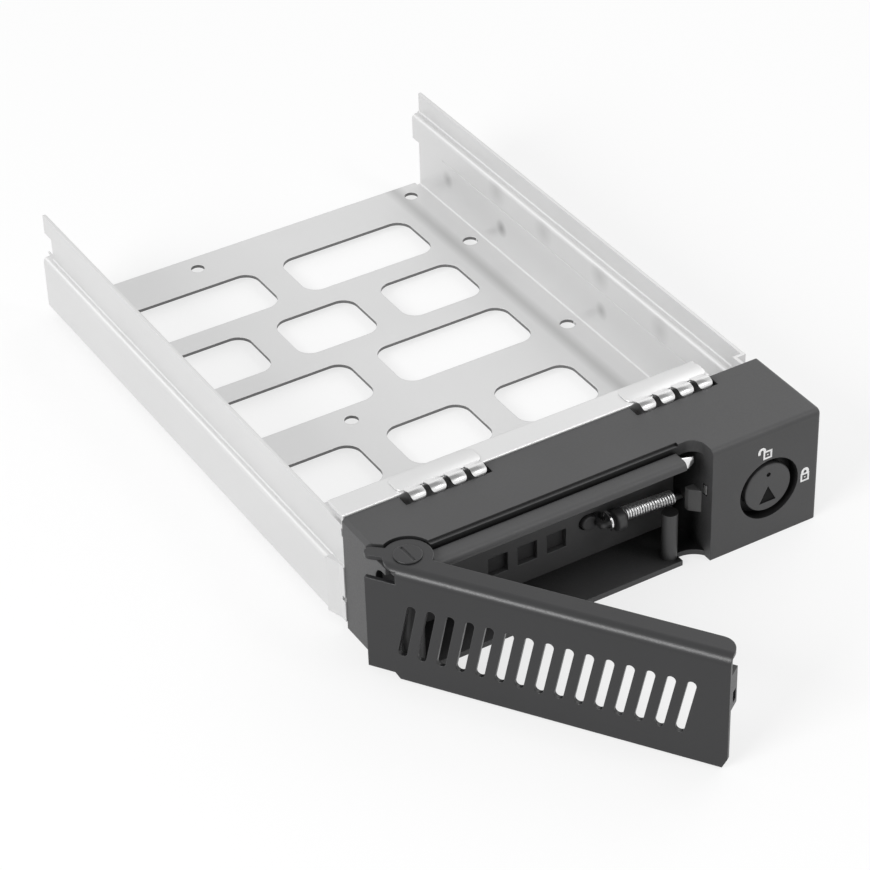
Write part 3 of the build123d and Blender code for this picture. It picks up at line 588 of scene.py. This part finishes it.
def stroke(points, wire, closed=False, corners=False):
    """A mesh of round wire along the given points, which are corners or guide a smooth curve."""
    data = bpy.data.curves.new("stroke", "CURVE")
    data.dimensions = "3D"
    data.bevel_depth = wire * MM
    data.bevel_resolution = 3
    data.use_fill_caps = True
    line = data.splines.new("POLY" if corners else "NURBS")
    line.points.add(len(points) - 1)
    for point, place in zip(line.points, points):
        point.co = (place[0] * MM, place[1] * MM, place[2] * MM, 1.0)
    if not corners:
        line.order_u = 4
        line.use_endpoint_u = not closed
        line.resolution_u = 6
    line.use_cyclic_u = closed
    piece = bpy.data.objects.new("stroke", data)
    bpy.context.scene.collection.objects.link(piece)
    pick([piece])
    bpy.ops.object.convert(target="MESH")
    return bpy.context.active_object


# Grounding clips

def curl_place(turn):
    """The point of a finger's curl at the given angle."""
    return Vector((0.0, CURL_Y + CURL_R * math.cos(turn), CURL_Z + CURL_R * math.sin(turn)))


def curled_finger(left):
    """One spring finger: a ramp up from the flange, a curl over the bezel and a rounded tip."""
    finger = flat_plate(left, left + FINGER_WIDE, FOOT_Y, FOOT_Y + FOOT_LONG, FOOT_Z)
    select_where("EDGE", lambda p: p.y < FOOT_Y + NEAR)
    ramp = curl_place(math.radians(CURL_START)) - Vector((0.0, FOOT_Y, FOOT_Z))
    bpy.ops.mesh.extrude_region_move(TRANSFORM_OT_translate={"value": ramp * MM})
    bpy.ops.mesh.spin(steps=CURL_STEPS, angle=-math.radians(CURL_SWEEP),
                      center=(0.0, CURL_Y * MM, CURL_Z * MM), axis=(1.0, 0.0, 0.0))
    half = FINGER_WIDE / 2
    row_step = CURL_R * math.radians(CURL_SWEEP) / CURL_STEPS
    for row in range(int(TIP_R / row_step) + 1):
        place = curl_place(math.radians(CURL_START + CURL_SWEEP * (CURL_STEPS - row) / CURL_STEPS))
        behind_tip = TIP_R - row * row_step
        narrow = (half - TIP_R + math.sqrt(TIP_R ** 2 - behind_tip ** 2)) / half
        select_where("VERT", lambda p: (Vector((0.0, p.y, p.z)) - place).length < NEAR)
        bpy.ops.transform.resize(value=(narrow, 1.0, 1.0))
    bpy.ops.object.mode_set(mode="OBJECT")
    thicken(finger, CLIP_SHEET)
    round_edges(finger, 0.07, 2, 50)
    return finger


def finger_clip(name):
    """A strip on the flange with its row of fingers."""
    start = CLIP_STARTS[name]
    end = start + (FINGERS - 1) * FINGER_PITCH + FINGER_WIDE
    strip = flat_plate(start - STRIP_MARGIN, end + STRIP_MARGIN, STRIP_FRONT, STRIP_REAR, STRIP_Z)
    bpy.ops.object.mode_set(mode="EDIT")
    bpy.ops.mesh.select_all(action="SELECT")
    bpy.ops.mesh.bevel(affect="VERTICES", offset=STRIP_CORNER_R * MM, segments=8)
    bpy.ops.object.mode_set(mode="OBJECT")
    thicken(strip, CLIP_SHEET)
    round_edges(strip, 0.08, 2, 50)
    first = curled_finger(start)
    rest = [copied(first, (index * FINGER_PITCH, 0, 0)) for index in range(1, FINGERS)]
    settle(strip, name + "_strip", STEEL, "frame")
    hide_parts(name)
    piece = joined([first] + rest)
    settle(piece, name + "_fingers", FINGER, "frame")
    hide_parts(name)


# Tension spring

def coil_spring():
    """Close coils along the tilted line between the anchor and the peg."""
    run = Vector((SPRING_RIGHT[0] - SPRING_LEFT[0], 0, SPRING_RIGHT[1] - SPRING_LEFT[1]))
    along = run.normalized()
    side, rise = Vector((0, 1, 0)), Vector((-along.z, 0, along.x))
    begin = Vector((SPRING_LEFT[0], SPRING_Y, SPRING_LEFT[1]))
    last = SPRING_TURNS * COIL_POINTS
    points = []
    for index in range(last + 1):
        turn = 2 * math.pi * index / COIL_POINTS
        points.append(begin + run * (index / last) + (side * math.cos(turn) + rise * math.sin(turn)) * COIL_R)
    piece = stroke(points, WIRE_R)
    settle(piece, "coil_spring", WIRE, "frame", 60.0)
    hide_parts("tension_spring")


# Screws at the back of the bezel

def cross_screw(x, z):
    """A domed screw head with a cross recess."""
    head = upright_disc(x, HEAD_SEAT + HEAD_GAP + HEAD_HIGH / 2, z, HEAD_R, HEAD_HIGH, sides=40)
    top_y = HEAD_SEAT + HEAD_HIGH
    select_where("FACE", lambda c, n: n.y > 0.9)
    bpy.ops.mesh.inset(thickness=RIM_WIDE * MM)
    select_where("EDGE", lambda p: p.y > top_y - NEAR and math.hypot(p.x - x, p.z - z) > HEAD_R - NEAR)
    bpy.ops.transform.translate(value=(0, -RIM_DROP * MM, 0))
    bpy.ops.object.mode_set(mode="OBJECT")
    round_edges(head, 0.35, 4, 20)
    for wide, high in ((CROSS_LONG, CROSS_WIDE), (CROSS_WIDE, CROSS_LONG)):
        bpy.ops.mesh.primitive_cube_add(size=1.0, location=(x * MM, top_y * MM, z * MM))
        cutter = bpy.context.active_object
        cutter.scale = (wide * MM, 2 * CROSS_DEEP * MM, high * MM)
        bpy.ops.object.transform_apply(location=True, scale=True)
        add_modifier(head, "BOOLEAN", operation="DIFFERENCE", object=cutter, solver="EXACT")
        bpy.data.objects.remove(cutter)
    return head


def bezel_screw_set():
    """Four equal screws on the tray's front wall."""
    places = [(x, z) for x in SCREW_X for z in SCREW_Z]
    first_x, first_z = places[0]
    first = cross_screw(first_x, first_z)
    rest = [copied(first, (x - first_x, 0, z - first_z)) for x, z in places[1:]]
    piece = joined([first] + rest)
    settle(piece, "cross_screws", FIXING, "frame", 30.0)
    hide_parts("bezel_screws")


# Printed padlocks on the lock block

def half_circle(x, z, begin, end):
    """Points of a shackle's round top, from one angle to the other in degrees."""
    turns = [math.radians(begin + (end - begin) * step / SHACKLE_STEPS) for step in range(SHACKLE_STEPS + 1)]
    return [(x + SHACKLE_R * math.cos(turn), z + SHACKLE_R * math.sin(turn)) for turn in turns]


def drawn(points, pen, closed=False):
    """A pen's line through the given (x, z) points on the bezel's front."""
    return stroke([(x, SIGN_Y, z) for x, z in points], pen, closed=closed, corners=True)


def padlock(name, x, z, shackle):
    """A padlock's square body with its keyhole dot and shackle, pressed flat on the bezel's front."""
    left, right = x - LOCK_HALF_WIDE, x + LOCK_HALF_WIDE
    bottom, top = z - LOCK_HALF_HIGH, z + LOCK_HALF_HIGH
    body = drawn([(left, bottom), (right, bottom), (right, top), (left, top)], PEN_R, closed=True)
    dot = drawn([(x, z - DOT_HALF), (x, z + DOT_HALF)], DOT_PEN_R)
    piece = joined([body, dot, drawn(shackle, PEN_R)])
    bpy.ops.object.mode_set(mode="EDIT")
    bpy.ops.mesh.select_all(action="SELECT")
    bpy.ops.transform.resize(value=(1.0, INK_PRESS, 1.0), center_override=(0, SIGN_Y * MM, 0))
    bpy.ops.object.mode_set(mode="OBJECT")
    settle(piece, name, INK_WHITE, "frame", 60.0)


def shut_padlock(x, z):
    """A closed padlock, with both legs of the shackle on its body."""
    top = z + LOCK_HALF_HIGH
    shackle = [(x - SHACKLE_R, top), *half_circle(x, top + SHUT_RISE, 180, 0), (x + SHACKLE_R, top)]
    padlock("sign_shut", x, z, shackle)


def open_padlock(x, z):
    """An open padlock, with the shackle swung out to the left."""
    left, top = x - LOCK_HALF_WIDE, z + LOCK_HALF_HIGH
    middle = left - OPEN_SWING
    shackle = [(left + OPEN_FOOT, top), *half_circle(middle, top + OPEN_RISE, 0, 180),
               (middle - SHACKLE_R, top - FREE_LEG)]
    padlock("sign_open", x, z, shackle)


# Pointer on the dial

def dial_pointer():
    """Black fill in the dial's sunk triangle and pip."""
    half = POINTER_WIDE / 2
    triangle = ((DIAL_X - half, POINTER_LOW), (DIAL_X + half, POINTER_LOW),
                (DIAL_X, POINTER_LOW + POINTER_HIGH))
    fill = upright_plate(triangle, FILL_Y)
    thicken(fill, FILL_THICK)
    pip = upright_disc(DIAL_X, FILL_Y, PIP_Z, PIP_R, FILL_THICK, sides=24)
    round_edges(pip, 0.04, 2, 30)
    settle(joined([fill, pip]), "dial_pointer", INK_BLACK, "dial", 30.0)


# Steel tab at the end of the ledge

def ledge_tab():
    """The small bright steel tab at the ledge's right end."""
    tab = upright_plate(TAB_OUTLINE, TAB_Y)
    thicken(tab, TAB_THICK)
    round_edges(tab, 0.18, 3, 35)
    settle(tab, "ledge_tab", CHROME, "frame")


finger_clip("clip_left")
finger_clip("clip_right")
coil_spring()
bezel_screw_set()
shut_padlock(*SHUT_SIGN)
open_padlock(*OPEN_SIGN)
ledge_tab()
dial_pointer()


# Camera, light and floor. Places are in metres here, and lamp powers in watts

CAMERA_LENS, SENSOR_WIDE = 125.465, 36.0
CAMERA_PLACE = (-0.282986, -0.528277, 0.409648)
CAMERA_TURN = ((0.855196, 0.324044, -0.404520), (-0.517602, 0.493282, -0.699114),
               (-0.027001, 0.807260, 0.589578))
SURROUNDINGS = 0.62
FLOOR_SIZE, FLOOR_GAP, FLOOR_GLOW = 6.0, 0.05 * MM, 0.70


def set_camera():
    """The photograph's viewpoint."""
    data = bpy.data.cameras.new("camera")
    data.sensor_width = SENSOR_WIDE
    data.lens = CAMERA_LENS
    data.clip_start = 0.01
    camera = bpy.data.objects.new("camera", data)
    bpy.context.scene.collection.objects.link(camera)
    camera.matrix_world = Matrix.Translation(CAMERA_PLACE) @ Matrix(CAMERA_TURN).to_4x4()
    bpy.context.scene.camera = camera


def area_lamp(name, place, target, size, power):
    """A soft square lamp that looks at a point."""
    data = bpy.data.lights.new(name, "AREA")
    data.size = size
    data.energy = power
    lamp = bpy.data.objects.new(name, data)
    bpy.context.scene.collection.objects.link(lamp)
    lamp.location = place
    lamp.rotation_euler = (Vector(target) - Vector(place)).to_track_quat("-Z", "Y").to_euler()


def seen_directly(tree):
    """1 for camera, glossy and transmission rays."""
    path = tree.nodes.new("ShaderNodeLightPath").outputs
    both = math_node(tree, "ADD", path["Is Camera Ray"], path["Is Glossy Ray"], clamp=True)
    return math_node(tree, "ADD", both, path["Is Transmission Ray"], clamp=True)


def set_world():
    """Even pale surroundings, white where they are seen."""
    world = bpy.data.worlds.new("studio")
    world.use_nodes = True
    bpy.context.scene.world = world
    tree = world.node_tree
    background = tree.nodes["Background"].inputs
    background["Color"].default_value = grey(1.0)
    strength = ranged(tree, seen_directly(tree), 0.0, 1.0, SURROUNDINGS, 1.0)
    tree.links.new(strength, background["Strength"])


def set_floor():
    """A pale floor that keeps the shadow."""
    bpy.ops.mesh.primitive_plane_add(size=FLOOR_SIZE, location=(0, 0, cad_box[0][2] - FLOOR_GAP))
    floor = bpy.context.active_object
    floor.name = "floor"
    bpy.ops.object.transform_apply(location=True)
    material = bpy.data.materials.new("floor_white")
    material.use_nodes = True
    tree = material.node_tree
    tree.nodes.clear()
    out = tree.nodes.new("ShaderNodeOutputMaterial")
    diffuse = tree.nodes.new("ShaderNodeBsdfDiffuse")
    diffuse.inputs["Color"].default_value = grey(0.86)
    glow = tree.nodes.new("ShaderNodeEmission")
    glow.inputs["Color"].default_value = grey(1.0)
    mix = tree.nodes.new("ShaderNodeMixShader")
    factor = math_node(tree, "MULTIPLY", seen_directly(tree), FLOOR_GLOW)
    tree.links.new(factor, mix.inputs["Fac"])
    tree.links.new(diffuse.outputs[0], mix.inputs[1])
    tree.links.new(glow.outputs[0], mix.inputs[2])
    tree.links.new(mix.outputs[0], out.inputs["Surface"])
    floor.data.materials.append(material)


set_camera()
bpy.context.scene.view_settings.view_transform = "Standard"
set_world()
set_floor()
area_lamp("key_left", place=(-1.1, -0.36, 0.66), target=(0, -0.04, 0), size=0.6, power=11.5)
area_lamp("edge_front", place=(0.48, -0.72, 0.85), target=(0.02, -0.11, 0), size=0.25, power=1.6)
area_lamp("fill_right", place=(1.0, 0.25, 0.7), target=(0.05, -0.06, 0), size=1.0, power=3.5)
area_lamp("back_left", place=(-0.55, 0.95, 0.7), target=(0.05, 0.0, 0.01), size=0.6, power=0.85)
